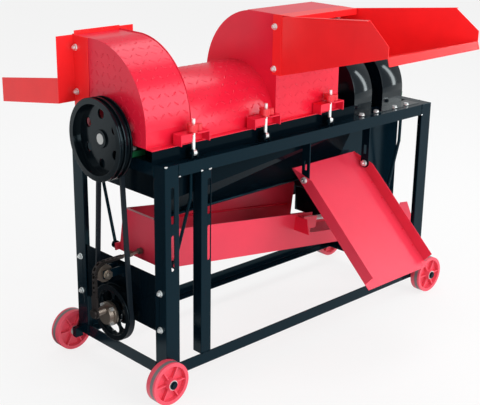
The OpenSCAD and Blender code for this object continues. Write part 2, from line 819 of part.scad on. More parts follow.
// Fan housing: round over the shaft, upright down to its feet, open below
module fan_profile(r) {
    translate([0, drum_z]) circle(r = r);
    translate([-r, frame_h]) square([2 * r, drum_up]);
}
module fan_housing(x, w, inlet_left) {
    along_x(x, x + w) difference() {
        intersection() {
            fan_profile(fan_r);
            translate([-300, frame_h]) square([600, 400]);
        }
        fan_profile(fan_r - fan_wall);
        translate([fan_wall - fan_r, frame_h - 150]) square([2 * (fan_r - fan_wall), 151]);
    }
    for (end = [0, 1]) difference() {
        e = x + end * (w - sheet_t);
        along_x(e, e + sheet_t) intersection() {
            fan_profile(fan_r);
            translate([-300, frame_h]) square([600, 400]);
        }
        translate([0, 0, drum_z]) cyl_x(e - 1, e + sheet_t + 1, (end == 0) == inlet_left ? 58 : shaft_r + 5);
    }
}

module fan_housings() {
    place() color(paint_black) difference() {
        union() {
            fan_housing(fan_x1, fan_w1, false);
            fan_housing(fan_x2, fan_w2, true);
            both_y() box([fan_x1 - 19, -rail_in - 15, frame_h], [fan_x2 + fan_w2 + 28, fan_wall - fan_r, frame_h + sheet_t]);
        }
        holes(fan_bolts);
    }
}

// Duct that leads the fans' air down to the sieve
module fan_duct() {
    place() color(paint_black) {
        for (s = [-1, 1]) along_y(s * duct_y - (s > 0 ? sheet_t : 0), s * duct_y + (s > 0 ? 0 : sheet_t))
            polygon([[duct_x0, duct_top], [duct_x1, duct_top], [duct_x1, 250], [duct_x0, 280]]);
        for (s = [-1, 1]) box([fan_x1 - 19, min(s * duct_y, s * (fan_r + 2)), duct_top - sheet_t],
            [duct_x1, max(s * duct_y, s * (fan_r + 2)), duct_top]);
        box([duct_x0, -duct_y, duct_left_z], [duct_x0 + sheet_t, duct_y, duct_top]);
        // baffle that turns the air down on to the screen
        along_y(-baffle_half, baffle_half) polygon([[duct_x0, duct_left_z], [duct_x0, duct_left_z + 5],
            [duct_x0 + sheet_t, duct_left_z + 5], [baffle_x + sheet_t, baffle_top], [baffle_x + sheet_t, baffle_z],
            [baffle_x, baffle_z], [baffle_x, baffle_top - 1]]);
        box([duct_x1 - sheet_t, -duct_y, 250], [duct_x1, duct_y, duct_top]);
        box([lug_x, -duct_y + sheet_t - 1, 264], [lug_x + 3, spring_y + 9, 300]);
    }
}

// Idler under the pull chain
arm_y0 = 14;
arm_y1 = 19;
module idler_bracket() {
    place() color(paint_black) {
        box([-hx - 2, -26, idler_z - 20], [-hx + steel_t, 26, idler_z + 12]);
        both_y() box([idler_x - 12, -arm_y1, idler_z - 12], [-hx, -arm_y0, idler_z + 12]);
        translate([idler_x, 0, idler_z]) {
            cyl_y(-arm_y1 - 11, arm_y1 + 3, axle_r - 2);
            cyl_y(-arm_y1 - 8, -arm_y1, 11);
        }
    }
}

module idler_roller() {
    place() color(steel) translate([idler_x, 0, idler_z]) difference() {
        union() {
            cyl_y(-9, 9, idler_r - gap);
            cyl_y(-13, 13, 14);
        }
        cyl_y(-20, 20, axle_r - 2 + fit_run);
    }
}

// Flanged housing that carries the crank shaft behind the end plate
crank_housing_x1 = 75 - hx;
module crank_bearing() {
    x0 = -hx + steel_t + plate_t;
    place() color(paint_black) translate([0, 0, crank_h]) difference() {
        union() {
            cyl_x(x0, x0 + 10, 45);
            cyl_x(x0, crank_housing_x1, 30);
        }
        cyl_x(x0 - 1, crank_housing_x1 + 1, crank_shaft_r + fit_run);
    }
}

// Lugs at the frame's corners with the wheel axles
wheel_x = hx + axle_out;
wheel_y1 = hy + 2 + wheel_w;
hub_y = wheel_y1 + 8;
module axle_brackets() {
    place() color(paint_black) both_x() both_y() {
        box([-wheel_x - 12, -hy + 4, axle_h - 14], [-hx, -hy + 20, axle_h + 16]);
        translate([-wheel_x, 0, axle_h]) {
            cyl_y(-hub_y - 6, -hy + 6, axle_r);
            cyl_y(-hub_y - 3, -hub_y - gap, axle_r + 4);
        }
    }
}

module wheel(sx, sy) {
    rim_in = wheel_r - 11;
    hub_r = 17;
    web = 6;
    mid = hy + 2 + wheel_w / 2;
    translate([sx * wheel_x, 0, axle_h]) mirror([0, sy > 0 ? 1 : 0, 0]) difference() {
        union() {
            difference() {
                cyl_y(-wheel_y1, -hy - 2, wheel_r);
                cyl_y(-wheel_y1 - 1, -mid - web / 2, rim_in);
                cyl_y(-mid + web / 2, -hy, rim_in);
            }
            cyl_y(-hub_y, -hy - 2, hub_r);
            translate([0, -mid, 0]) for (a = [0:60:300]) rotate([0, a, 0])
                box([hub_r - 2, -wheel_w / 2 + 3, -2], [rim_in + 2, wheel_w / 2 - 3, 2]);
        }
        cyl_y(-hub_y - 1, -hy, axle_r + fit_run);
    }
}
module wheel_front_left() { place() color(paint_red) wheel(-1, -1); }
module wheel_front_right() { place() color(paint_red) wheel(1, -1); }
module wheel_back_left() { place() color(paint_red) wheel(-1, 1); }
module wheel_back_right() { place() color(paint_red) wheel(1, 1); }

// Threshing drum: shell with end discs and rows of flat teeth
module drum() {
    count = floor((drum_x1 - drum_x0 - 30) / tooth_step);
    place() color(steel) translate([0, 0, drum_z]) {
        difference() {
            cyl_x(drum_x0, drum_x1, shell_r);
            cyl_x(drum_x0 + 5, drum_x1 - 5, shell_r - 4);
            cyl_x(drum_x0 - 1, drum_x1 + 1, shaft_r + fit_run);
        }
        for (x = [drum_x0 + 3, drum_x1 - 23]) difference() {
            cyl_x(x, x + 20, shaft_r + 14);
            cyl_x(x - 1, x + 21, shaft_r + fit_run);
        }
        for (row = [0:tooth_rows - 1]) rotate([row * 360 / tooth_rows, 0, 0])
            for (i = [0:count]) translate([drum_x0 + 12 + i * tooth_step + (row % 2) * tooth_step / 2, 0, 0])
                if (drum_x0 + 12 + i * tooth_step + (row % 2) * tooth_step / 2 < drum_x1 - 12)
                    box([-3, -10, shell_r - 3], [3, 10, tooth_tip_r - 0.5]);
    }
}

module drum_shaft() {
    place() color(steel) translate([0, 0, drum_z]) cyl_x(shaft_x0, shaft_x1, shaft_r);
}

// Groove for the belt, cut into a rim along X
module groove(x, r) {
    difference() {
        cyl_x(x - belt_w / 2 - gap, x + belt_w / 2 + gap, r + 5);
        cyl_x(x - belt_w, x + belt_w, r - belt_t - gap);
    }
}

module drive_pulley() {
    rim_in = drive_r - 17;
    web_x = drive_x1 - 18;
    place() color(paint_black) translate([0, 0, drum_z]) difference() {
        union() {
            difference() {
                cyl_x(drive_x0, drive_x1, drive_r);
                cyl_x(drive_x0 - 1, web_x, rim_in);
                cyl_x(web_x + 7, drive_x1 + 1, rim_in);
            }
            cyl_x(shaft_x0, drive_x1, shaft_r + 10);
        }
        cyl_x(drive_x0 - 1, drive_x1 + 1, shaft_r + fit_run);
        for (s = [-1, 1]) groove((drive_x0 + drive_x1) / 2 + s * 10, drive_r);
        for (a = [0:60:300]) rotate([a, 0, 0]) translate([0, 0, 0.6 * drive_r])
            cyl_x(drive_x0, drive_x1, 13);
    }
}

module belt_pulley() {
    place() color(paint_black) translate([0, 0, drum_z]) difference() {
        cyl_x(small_x0, small_x1, small_r);
        cyl_x(small_x0 - 1, small_x1 + 1, shaft_r + fit_run);
        groove(belt_x, small_r);
    }
}

module impeller(x, w) {
    difference() {
        union() {
            cyl_x(x, x + w, shaft_r + 12);
            cyl_x(x + w / 2 - 1.5, x + w / 2 + 1.5, impeller_r - 15);
            for (a = [0:60:300]) rotate([a, 0, 0]) box([x, -1.5, shaft_r + 8], [x + w, 1.5, impeller_r]);
        }
        cyl_x(x - 1, x + w + 1, shaft_r + fit_run);
    }
}
module fan_impellers() {
    place() color(steel) translate([0, 0, drum_z]) {
        impeller(fan_x1 + 8, fan_w1 - 16);
        impeller(fan_x2 + 8, fan_w2 - 16);
    }
}

module crank_pulley() {
    rim_in = crank_pulley_r - 16;
    place() color(paint_black) translate([0, 0, crank_h]) difference() {
        union() {
            difference() {
                cyl_x(crank_x0, crank_x1, crank_pulley_r);
                cyl_x(crank_x0 - 1, crank_x0 + 8, rim_in);
                cyl_x(crank_x0 + 15, crank_x1 + 1, rim_in);
            }
            cyl_x(crank_x0, crank_x1, 30);
        }
        cyl_x(crank_x0 - 1, crank_x1 + 1, crank_shaft_r + fit_run);
        groove(belt_x, crank_pulley_r);
        for (a = [0:72:288]) rotate([a + 36, 0, 0]) for (b = [-12, 12]) rotate([b, 0, 0])
            translate([0, 0, (rim_in + 30) / 2]) cyl_x(crank_x0, crank_x1, (rim_in - 30) / 2 - 4);
    }
}

// Crank shaft with its bolted hub flange, the throw and the crank pin
module crank_shaft() {
    place() color(steel) translate([0, 0, crank_h]) {
        cyl_x(crank_x0 - 10, crank_housing_x1 + 6, crank_shaft_r);
        cyl_x(crank_x0 - 10, crank_x0, 36);
        cyl_x(crank_x0 - 24, crank_x0 - 9, crank_throw + pin_r + 7);
        for (a = [45:90:315]) rotate([a, 0, 0]) translate([0, 0, 30]) cyl_x(crank_x0 - 15, crank_x0 - 9, 5);
        translate([0, 0, crank_throw]) cyl_x(pin_end, crank_x0 - 20, pin_r + 5);
    }
}

module v_belt() {
    a = [0, drum_z];
    b = [0, crank_h];
    place() color(rubber) along_x(belt_x - belt_w / 2, belt_x + belt_w / 2) difference() {
        hull() {
            translate(a) circle(r = small_r, $fn = 72);
            translate(b) circle(r = crank_pulley_r, $fn = 72);
        }
        hull() {
            translate(a) circle(r = small_r - belt_t, $fn = 72);
            translate(b) circle(r = crank_pulley_r - belt_t, $fn = 72);
        }
    }
}

// Chain drawn along Z from z0 up to z1 with its rollers, standing in the plane y = 0
plate_w = 4;
module chain_bar(z0, z1) {
    for (s = [-1, 1]) box([-plate_w, s > 0 ? 4 : -7, z0], [plate_w, s > 0 ? 7 : -4, z1]);
    for (z = [z0 + link_pitch / 2:link_pitch:z1 - chain_half]) translate([0, 0, z]) {
        cyl_y(-5, 5, chain_half - 0.5);
        cyl_y(-8, 8, 2);
    }
}

module chain_link() {
    top = crank_pin_z + link_l;
    place() color(steel) {
        box([link_x, -13, crank_pin_z - 2], [link_x + link_t, 13, crank_pin_z + 50]);
        translate([0, 0, crank_pin_z]) cyl_x(link_x, link_x + link_t, 17);
        translate([0, 0, crank_pin_z]) cyl_x(link_end_x, link_x + 1, 13);
        box([link_x, -8, crank_pin_z + 45], [link_x + link_t + 2, 8, top]);
    }
}

module chain_upright() {
    place() color(steel) translate([chain_x, 0, 0]) chain_bar(crank_pin_z + link_l, idler_z - chain_gap);
}

module chain_wrap() {
    place() color(steel) translate([idler_x, 0, idler_z]) difference() {
        union() {
            for (s = [-1, 1]) rotate([90, 0, 0]) translate([0, 0, s > 0 ? 4 : -7]) linear_extrude(3) difference() {
                circle(r = chain_line_r + plate_w);
                circle(r = chain_line_r - plate_w);
            }
            for (i = [0:2]) rotate([0, -15 - 30 * i, 0]) translate([0, 0, chain_line_r]) {
                cyl_y(-5, 5, chain_half - 0.5);
                cyl_y(-8, 8, 2);
            }
        }
        box([0, -20, -50], [50, 20, 50]);
        box([-50, -20, -50], [50, 20, 0]);
    }
}

module chain_run() {
    place() color(steel) translate([0, 0, chain_run_z]) rotate([0, 90, 0])
        chain_bar(idler_x + chain_gap, chain_run_x1);
}

module adjusting_screw() {
    cap_x = sieve_x0 + (chain_run_z - sieve_z0) * tan(sieve_slope);
    place() color(steel) translate([0, 0, chain_run_z]) {
        cyl_x(chain_run_x1, cap_x + 22, rod_r);
        rotate([0, 90, 0]) translate([0, 0, cap_x - 12]) cylinder(r = 10, h = 10, $fn = 6);
        rotate([0, 90, 0]) translate([0, 0, cap_x + 4]) cylinder(r = 10, h = 10, $fn = 6);
        rotate([0, 90, 0]) translate([0, 0, cap_x - 48]) cylinder(r = 10, h = 10, $fn = 6);
    }
}

// Sieve box: u runs down its floor from the left end, v stands off it
module on_slope() { translate([sieve_x0, 0, sieve_z0]) rotate([0, sieve_slope, 0]) children(); }
half_w = sieve_w / 2;
low_wall = 45;
front_high_u = 611;
back_high_u = 734;
back_end_wall = 178;
tail_u0 = 1077;
tail_u1 = 1118;
tail_top = sieve_wall - 6;
bracket_u = front_high_u - 68;
bracket_out = 26;
screen_u0 = 40;
screen_v = 28;
screen_step = 28;
screen_hole = 18;

module side_wall(y, wall, high_u, end_wall) {
    along_y(y, y + sheet_t) polygon([[0, 0], [0, wall], [high_u - 254, wall], [high_u, end_wall],
        [high_u, low_wall], [tail_u0, low_wall], [tail_u0, tail_top], [tail_u1, tail_top],
        [sieve_l, tail_h], [sieve_l, 0]]);
}

module sieve_pin(side, x, z) {
    translate([x, 0, z]) mirror([0, side > 0 ? 1 : 0, 0]) {
        cyl_y(-hang_low_y - eye_w / 2 - 3, -half_w - 1, pin_r);
        cyl_y(-hang_low_y - eye_w / 2 - 3, -hang_low_y - eye_w / 2 - gap, pin_r + 2);
        box([-14, -half_w - 4, -11], [14, -half_w + 1, 11]);
    }
}

module sieve_box() {
    place() color(paint_red) difference() {
        union() {
            on_slope() {
                box([0, -half_w, 0], [sieve_l, half_w, sheet_t]);
                box([0, -half_w, 0], [sheet_t, half_w, sieve_wall + 14]);
                box([0, -half_w, sieve_wall + 12], [14, half_w, sieve_wall + 14]);
                side_wall(-half_w, sieve_wall, front_high_u, sieve_wall);
                side_wall(half_w - sheet_t, sieve_back, back_high_u, back_end_wall);
                box([bracket_u, -half_w - bracket_out, sieve_wall - 46],
                    [bracket_u + 6, -half_w + 1, sieve_wall - 4]);
                box([bracket_u, -half_w - bracket_out, sieve_wall - 44],
                    [front_high_u - 6, -half_w - bracket_out + sheet_t, sieve_wall - 4]);
            }
            sieve_pin(-1, front_hang_x, left_hang_z);
            sieve_pin(1, back_hang_x, left_hang_z);
            sieve_pin(-1, right_hang_x, right_hang_z);
            sieve_pin(1, right_hang_x, right_hang_z);
        }
        translate([0, 0, chain_run_z]) cyl_x(sieve_x0 - 20, sieve_x0 + 30, rod_r + gap);
    }
}

// Perforated sheet above the floor
module sieve_screen() {
    place() color(steel) on_slope() difference() {
        box([screen_u0, -half_w + sheet_t, screen_v], [back_high_u - 90, half_w - sheet_t, screen_v + sheet_t]);
        for (u = [screen_u0 + 10:screen_step:back_high_u - 120]) for (y = [-3:3])
            translate([u, y * screen_step - screen_hole / 2, screen_v - 5]) cube([screen_hole, screen_hole, 20]);
    }
}

// Bent rod between an eye on the frame's pin and an eye on the sieve's pin
module hanger(side, x, z, clear_low) {
    low = [x, side * hang_low_y, z];
    up = [x + hang_lean, side * hang_up_y, hang_up_z];
    bend = [x + hang_lean * (hang_bend_z - z) / (hang_up_z - z), side * hang_up_y, hang_bend_z];
    toward = (bend - low) / norm(bend - low);
    difference() {
        union() {
            for (p = [low, up]) translate(p) cyl_y(-eye_w / 2, eye_w / 2, eye_r);
            bar(up - [0, 0, rod_start], bend, rod_r);
            translate(bend) sphere(r = rod_r + gap);
            bar(low + rod_start * toward, bend, rod_r);
        }
        translate(up) cyl_y(-20, 20, pin_r + fit_run);
        translate(low) cyl_y(-20, 20, pin_r + clear_low);
    }
}

module front_left_hanger() { place() color(paint_black) hanger(-1, front_hang_x, left_hang_z, fit_run); }
module back_left_hanger() { place() color(paint_black) hanger(1, back_hang_x, left_hang_z, gap); }
module right_hangers() {
    place() color(paint_black) for (s = [-1, 1]) hanger(s, right_hang_x, right_hang_z, 1.3);
}

// Return spring on a helix along the sieve's slope, one unbroken tube
spring_v = 99.5;
spring_u0 = bracket_u + 6 + gap + spring_wire;
spring_u1 = (lug_x - sieve_x0 - 3 - spring_v * sin(sieve_slope)) / cos(sieve_slope);
spring_y = -half_w - 14;
spring_ring = 6;
spring_steps = 8 * spring_curls;
spring_line_r = spring_r - spring_wire;
spring_len = spring_u1 - spring_u0;
spring_pitch = spring_len / spring_curls;
function helix(i) = let (a = 360 * i / 8)
    [spring_len * i / spring_steps, spring_line_r * cos(a), spring_line_r * sin(a)];
function helix_dir(i) = let (d = helix(i + 0.01) - helix(i - 0.01)) d / norm(d);
function spring_points(i) = let (c = helix(i), t = helix_dir(i), n = [0, cos(45 * i), sin(45 * i)], b = cross(t, n))
    [for (k = [0:spring_ring - 1]) c + spring_wire * (cos(60 * k) * n + sin(60 * k) * b)];
spring_gap = min([for (i = [0:8]) for (j = [6:10]) norm(helix(i + j) - helix(i))]) - 2 * spring_wire;
echo(spring_gap_mm = spring_gap);

module return_spring() {
    rings = [for (i = [0:spring_steps]) spring_points(i)];
    verts = [for (r = rings) for (p = r) p];
    last = spring_steps * spring_ring;
    sides = [for (i = [0:spring_steps - 1]) for (k = [0:spring_ring - 1]) let (m = (k + 1) % spring_ring,
        a = i * spring_ring + k, b = i * spring_ring + m, c = a + spring_ring, d = b + spring_ring)
        for (f = [[a, c, b], [b, c, d]]) f];
    caps = [for (k = [1:spring_ring - 2]) for (f = [[0, k, k + 1], [last, last + k + 1, last + k]]) f];
    place() color(zinc) on_slope() translate([spring_u0, spring_y, spring_v])
        polyhedron(points = verts, faces = concat(sides, caps));
}

module frame_bolts() {
    place() color(zinc) for (list = [end_bolts, foot_bolts, fan_bolts, hopper_bolts, tray_bolts])
        for (b = list) at(b) bolt(b[2]);
}

// Clamp: eye bolt on the casing's pin, and a lobed knob with its washer
module eye_bolt(x) {
    place() color(zinc) translate([x, clamp_y, clamp_z]) difference() {
        union() {
            cyl_x(-5.5, 5.5, clamp_r + 4.5);
            translate([0, 0, clamp_r + 2]) cylinder(r = clamp_r, h = clamp_l - clamp_r - 2);
        }
        cyl_x(-10, 10, clamp_r + fit_run);
    }
}

module clamp_knob(x) {
    place() color(paint_red) translate([x, clamp_y, 0]) difference() {
        union() {
            translate([0, 0, washer_z]) cylinder(r = 12, h = 2.5);
            translate([0, 0, washer_z + 2]) cylinder(r = 10, h = 5);
            translate([0, 0, washer_z + 6]) {
                cylinder(r = 13, h = knob_top - washer_z - 6);
                for (a = [90, 210, 330]) rotate([0, 0, a]) translate([14.6, 0, 0])
                    cylinder(r = 8.6, h = knob_top - washer_z - 6);
            }
        }
        translate([0, 0, washer_z - 1]) cylinder(r = clamp_r + fit_run, h = 60);
    }
}

module eye_bolt_1() { eye_bolt(clamp_xs[0]); }
module eye_bolt_2() { eye_bolt(clamp_xs[1]); }
module eye_bolt_3() { eye_bolt(clamp_xs[2]); }
module clamp_knob_1() { clamp_knob(clamp_xs[0]); }
module clamp_knob_2() { clamp_knob(clamp_xs[1]); }
module clamp_knob_3() { clamp_knob(clamp_xs[2]); }

front_left_leg();
front_right_leg();
back_legs();
second_post();
front_top_rail();
back_top_rail();
end_rails();
front_bottom_rail();
back_bottom_rail();
left_end_plate();
casing_front();
casing_back();
casing_ends();
concave();
drum_bearings();
left_housing();
middle_cover();
feed_housing();
feed_hopper();
discharge_chute();
cover_brackets();
cover_hinges();
grain_chute();
chute_straps();
fan_housings();
fan_duct();
idler_bracket();
idler_roller();
crank_bearing();
axle_brackets();
wheel_front_left();
wheel_front_right();
wheel_back_left();
wheel_back_right();
drum();
drum_shaft();
drive_pulley();
belt_pulley();
fan_impellers();
crank_pulley();
crank_shaft();
v_belt();
chain_link();
chain_upright();
chain_wrap();
chain_run();
adjusting_screw();
sieve_box();
sieve_screen();
front_left_hanger();
back_left_hanger();
right_hangers();
return_spring();
frame_bolts();
eye_bolt_1();
eye_bolt_2();
eye_bolt_3();
clamp_knob_1();
clamp_knob_2();
clamp_knob_3();
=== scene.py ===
import bmesh
import bpy
import json
import math
import random
from mathutils import Matrix, Vector


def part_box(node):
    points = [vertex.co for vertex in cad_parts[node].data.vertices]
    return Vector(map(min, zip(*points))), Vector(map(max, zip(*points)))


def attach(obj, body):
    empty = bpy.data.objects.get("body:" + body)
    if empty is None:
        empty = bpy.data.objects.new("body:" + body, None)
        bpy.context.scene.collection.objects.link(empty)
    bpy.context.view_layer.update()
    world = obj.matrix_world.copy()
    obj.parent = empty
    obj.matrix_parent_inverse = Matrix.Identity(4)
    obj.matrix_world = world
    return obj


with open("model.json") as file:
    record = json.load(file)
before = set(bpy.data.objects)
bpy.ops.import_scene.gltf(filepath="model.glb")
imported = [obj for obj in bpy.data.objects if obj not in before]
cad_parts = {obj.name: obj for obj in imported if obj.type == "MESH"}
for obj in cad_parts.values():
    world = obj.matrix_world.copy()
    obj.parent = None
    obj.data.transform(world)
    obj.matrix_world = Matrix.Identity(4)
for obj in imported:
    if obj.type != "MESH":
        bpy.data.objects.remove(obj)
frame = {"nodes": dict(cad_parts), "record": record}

nodes = frame["nodes"]
scene = bpy.context.scene
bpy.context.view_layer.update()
print("frame loaded:", len(nodes), "nodes")

# drawing millimetres, from the middle of the steel frame's underside, to the shared frame's metres
drawingShift = Vector((1.2575, 79.0, 57.0))


def at(x, y, z):
    return (Vector((x, y, z)) + drawingShift) / 1000


# paints and metals
finishes = {
    "red_paint": {"colour": (0.78, 0.012, 0.04), "roughness": 0.26, "shine": 0.42,
                  "tint": (1.0, 0.86, 1.0), "peel": 0.05, "mottle": 0.05},
    # painted light: the hopper's sheets get a brighter, purer red copy of the red paint and the low sheets
    # a pinker copy, a painted reflection, as in the photograph
    "hopper_painted_light_red": {"colour": (0.96, 0.022, 0.026), "roughness": 0.26, "shine": 0.36,
                   "tint": (1.0, 0.9, 0.9), "peel": 0.05, "mottle": 0.05},
    "low_painted_sheen_red": {"colour": (0.74, 0.038, 0.075), "roughness": 0.3, "shine": 0.42,
                "tint": (1.0, 0.86, 1.0), "peel": 0.05, "mottle": 0.04},
    "red_plastic": {"colour": (0.74, 0.02, 0.035), "roughness": 0.4, "shine": 0.5,
                    "peel": 0.03, "mottle": 0.03},
    "black_paint": {"colour": (0.0015, 0.008, 0.014), "roughness": 0.16, "shine": 0.15,
                    "tint": (0.3, 0.8, 1.0), "peel": 0.05},
    # painted shade: a darker copy of the black paint for the casing and the left end plate
    "casing_painted_shade_black": {"colour": (0.001, 0.004, 0.007), "roughness": 0.14, "shine": 0.06,
                     "tint": (0.3, 0.8, 1.0), "peel": 0.05},
    "fan_paint": {"colour": (0.001, 0.003, 0.006), "roughness": 0.12, "coat": 0.3, "shine": 0.25,
                  "tint": (0.7, 0.95, 1.0), "peel": 0.03},
    "cast_black": {"colour": (0.002, 0.004, 0.006), "roughness": 0.16, "coat": 0.12, "shine": 0.2,
                   "tint": (0.5, 0.85, 1.0), "peel": 0.1},
    "green_cast": {"colour": (0.008, 0.13, 0.045), "roughness": 0.4, "shine": 0.4,
                   "peel": 0.2, "mottle": 0.1},
    "zinc": {"colour": (0.86, 0.9, 0.9), "roughness": 0.28, "metal": 0.75, "peel": 0.04, "mottle": 0.06},
    "bare_steel": {"colour": (0.40, 0.36, 0.31), "roughness": 0.34, "metal": 1.0,
                   "peel": 0.08, "mottle": 0.25},
    "hub_steel": {"colour": (0.2, 0.17, 0.145), "roughness": 0.4, "metal": 0.9,
                  "peel": 0.12, "mottle": 0.35},
    "shaft_steel": {"colour": (0.62, 0.63, 0.62), "roughness": 0.34, "metal": 0.8,
                    "peel": 0.05, "mottle": 0.15},
    "drum_steel": {"colour": (0.3, 0.29, 0.28), "roughness": 0.42, "metal": 1.0,
                   "peel": 0.1, "mottle": 0.2},
    "chain_steel": {"colour": (0.06, 0.053, 0.052), "roughness": 0.36, "metal": 0.9,
                    "peel": 0.05, "mottle": 0.3},
    "belt_rubber": {"colour": (0.006, 0.012, 0.018), "roughness": 0.5, "shine": 0.2,
                    "peel": 0.12, "mottle": 0.1},
}
surface = {
    "coatRoughness": 0.08,
    "peelScale": 380.0, "peelDetail": 2.0, "peelDepth": 0.001,
    "mottleScale": 9.0, "mottleDetail": 3.0, "mottleFrom": 0.3, "mottleTo": 0.7,
}


def startMaterial(name, finish):
    mat = bpy.data.materials.new(name)
    mat.use_nodes = True
    tree = mat.node_tree
    shader = tree.nodes["Principled BSDF"]
    shader.inputs["Base Color"].default_value = (*finish["colour"], 1)
    shader.inputs["Metallic"].default_value = finish.get("metal", 0.0)
    shader.inputs["Roughness"].default_value = finish["roughness"]
    shader.inputs["Specular IOR Level"].default_value = finish.get("shine", 0.5)
    shader.inputs["Specular Tint"].default_value = (*finish.get("tint", (1, 1, 1)), 1)
    shader.inputs["Coat Weight"].default_value = finish.get("coat", 0.0)
    shader.inputs["Coat Roughness"].default_value = surface["coatRoughness"]
    return mat, tree, shader


def addPeel(tree, shader, finish, coords):
    noise = tree.nodes.new("ShaderNodeTexNoise")
    noise.inputs["Scale"].default_value = surface["peelScale"]
    noise.inputs["Detail"].default_value = surface["peelDetail"]
    bump = tree.nodes.new("ShaderNodeBump")
    bump.inputs["Strength"].default_value = finish["peel"]
    bump.inputs["Distance"].default_value = surface["peelDepth"]
    tree.links.new(coords, noise.inputs["Vector"])
    tree.links.new(noise.outputs["Fac"], bump.inputs["Height"])
    tree.links.new(bump.outputs["Normal"], shader.inputs["Normal"])


def addMottle(tree, shader, finish, coords):
    noise = tree.nodes.new("ShaderNodeTexNoise")
    noise.inputs["Scale"].default_value = surface["mottleScale"]
    noise.inputs["Detail"].default_value = surface["mottleDetail"]
    ramp = tree.nodes.new("ShaderNodeValToRGB")
    colour = Vector(finish["colour"])
    ramp.color_ramp.elements[0].position = surface["mottleFrom"]
    ramp.color_ramp.elements[0].color = (*(colour * (1 - finish["mottle"])), 1)
    ramp.color_ramp.elements[1].position = surface["mottleTo"]
    ramp.color_ramp.elements[1].color = (*(colour * (1 + finish["mottle"])), 1)
    tree.links.new(coords, noise.inputs["Vector"])
    tree.links.new(noise.outputs["Fac"], ramp.inputs["Fac"])
    tree.links.new(ramp.outputs["Color"], shader.inputs["Base Color"])


def paintFor(name):
    finish = finishes[name]
    mat, tree, shader = startMaterial(name, finish)
    coords = tree.nodes.new("ShaderNodeTexCoord").outputs["Object"]
    addPeel(tree, shader, finish, coords)
    if "mottle" in finish:
        addMottle(tree, shader, finish, coords)
    return mat


paints = {name: paintFor(name) for name in finishes}

# moulded wheels: coral body, grey tread band, steel sleeve round the axle
wheelLook = {
    "coral": (0.80, 0.075, 0.12),
    "tread": (0.17, 0.155, 0.16),
    "sleeve": (0.6, 0.58, 0.57),
    "treadFrom": 0.0595,
    "treadHalf": 0.006,
    "sleeveTo": 0.0145,
}


def wheelMaterial(name, centre):
    mat, tree, shader = startMaterial(name, finishes["red_plastic"])
    link = tree.links.new
    coords = tree.nodes.new("ShaderNodeTexCoord").outputs["Object"]
    centred = tree.nodes.new("ShaderNodeMapping")
    centred.inputs["Location"].default_value = tuple(-value for value in centre)
    link(coords, centred.inputs["Vector"])
    split = tree.nodes.new("ShaderNodeSeparateXYZ")
    link(centred.outputs["Vector"], split.inputs["Vector"])
    flat = tree.nodes.new("ShaderNodeCombineXYZ")
    link(split.outputs["X"], flat.inputs["X"])
    link(split.outputs["Z"], flat.inputs["Z"])
    reach = tree.nodes.new("ShaderNodeVectorMath")
    reach.operation = "LENGTH"
    link(flat.outputs["Vector"], reach.inputs[0])

    def compare(value, operation, limit):
        node = tree.nodes.new("ShaderNodeMath")
        node.operation = operation
        node.inputs[1].default_value = limit
        link(value, node.inputs[0])
        return node.outputs["Value"]

    def both(first, second):
        node = tree.nodes.new("ShaderNodeMath")
        node.operation = "MULTIPLY"
        link(first, node.inputs[0])
        link(second, node.inputs[1])
        return node.outputs["Value"]

    def paintOver(under, colour, mask):
        mix = tree.nodes.new("ShaderNodeMix")
        mix.data_type = "RGBA"
        link(mask, mix.inputs["Factor"])
        if isinstance(under, tuple):
            mix.inputs["A"].default_value = (*under, 1)
        else:
            link(under, mix.inputs["A"])
        mix.inputs["B"].default_value = (*colour, 1)
        return mix.outputs["Result"]

    nearMiddle = both(compare(split.outputs["Y"], "LESS_THAN", wheelLook["treadHalf"]),
                      compare(split.outputs["Y"], "GREATER_THAN", -wheelLook["treadHalf"]))
    onTread = both(compare(reach.outputs["Value"], "GREATER_THAN", wheelLook["treadFrom"]), nearMiddle)
    onSleeve = compare(reach.outputs["Value"], "LESS_THAN", wheelLook["sleeveTo"])
    treaded = paintOver(wheelLook["coral"], wheelLook["tread"], onTread)
    colour = paintOver(treaded, wheelLook["sleeve"], onSleeve)
    link(colour, shader.inputs["Base Color"])
    addPeel(tree, shader, finishes["red_plastic"], coords)
    return mat


def middleOf(node):
    low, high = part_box(node)
    return (low + high) / 2


# looks that differ from the material slot's own
shadeOf = {
    "fan_housings": "fan_paint",
    # painted shade: the darker black copy on the casing and left end plate
    "casing_front": "casing_painted_shade_black", "casing_ends": "casing_painted_shade_black", "left_end_plate": "casing_painted_shade_black",
    # painted light: the brighter red copy on the hopper and discharge chute, the pinker painted-reflection
    # copy on the low sheets
    "feed_hopper": "hopper_painted_light_red", "discharge_chute": "hopper_painted_light_red",
    "grain_chute": "low_painted_sheen_red", "sieve_box": "low_painted_sheen_red",
    "crank_shaft": "hub_steel", "idler_roller": "hub_steel", "adjusting_screw": "hub_steel",
    "drum_shaft": "shaft_steel",
}

for part in frame["record"]["subparts"]:
    node = nodes[part["node"]]
    if part["material_slot"] == "wheel_plastic":
        mat = wheelMaterial(part["node"] + "_look", middleOf(part["node"]))
    elif part["node"] in shadeOf:
        mat = paints[shadeOf[part["node"]]]
    else:
        mat = paints[part["material_slot"]]
    for slot in node.material_slots:
        slot.material = mat
print("finishes on")

